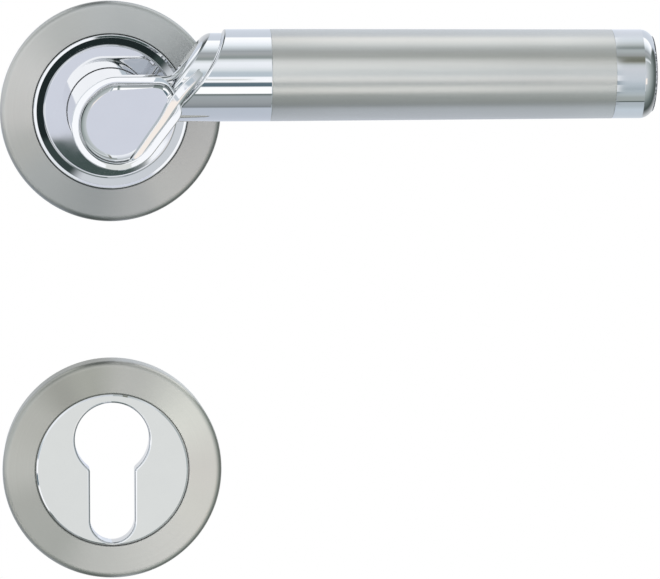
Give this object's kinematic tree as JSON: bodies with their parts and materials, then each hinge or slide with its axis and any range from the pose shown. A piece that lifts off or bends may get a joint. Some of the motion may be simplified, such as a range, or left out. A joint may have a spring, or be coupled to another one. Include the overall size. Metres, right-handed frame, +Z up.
{
  "type": "door lever handle",
  "caption": "Straight round-bar door lever on a round sprung rose, with the matching round keyhole rose for a profile cylinder.",
  "frame": {"origin": "where the spindle's axis meets the door's face", "axes": "+X along the grip from the spindle to the tip, +Y into the door, +Z up; the hand is on the -Y side"},
  "size_m": [0.148, 0.1233, 0.1364],
  "materials": {
    "polished_chrome": "mirror-polished chrome plate",
    "satin_nickel": "fine brushed satin nickel",
    "zinc_casting": "raw die casting, dull grey",
    "nylon": "moulded dark nylon, fine matt",
    "spring_steel": "oil-blackened spring steel",
    "zinc_plated_steel": "bright zinc plate"
  },
  "bodies": {
    "root": {"rose_base": "zinc_casting", "bearing_bush": "nylon", "return_spring": "spring_steel", "rose_insert": "polished_chrome", "neck_liner": "nylon", "rose_ring": "satin_nickel", "fixing_bolts": "zinc_plated_steel", "escutcheon_base": "nylon", "escutcheon_screws": "zinc_plated_steel", "escutcheon_insert": "polished_chrome", "escutcheon_ring": "satin_nickel"},
    "lever": {"lever_neck": "polished_chrome", "grip_sleeve": "satin_nickel", "end_cap": "polished_chrome", "tie_stud": "zinc_plated_steel", "wave_washer": "spring_steel", "retaining_ring": "spring_steel", "spindle": "zinc_plated_steel", "grub_screw": "spring_steel", "spring_driver": "zinc_plated_steel"}
  },
  "joints": [
    {"name": "lever_turn", "type": "hinge", "parent": "root", "child": "lever", "pos_m": [0, 0, 0], "axis": [0, 1, 0], "range_deg": [0, 45], "stiffness_Nm_per_rad": 0.6, "springref_deg": -34.38, "deforming": ["return_spring"]}
  ]
}
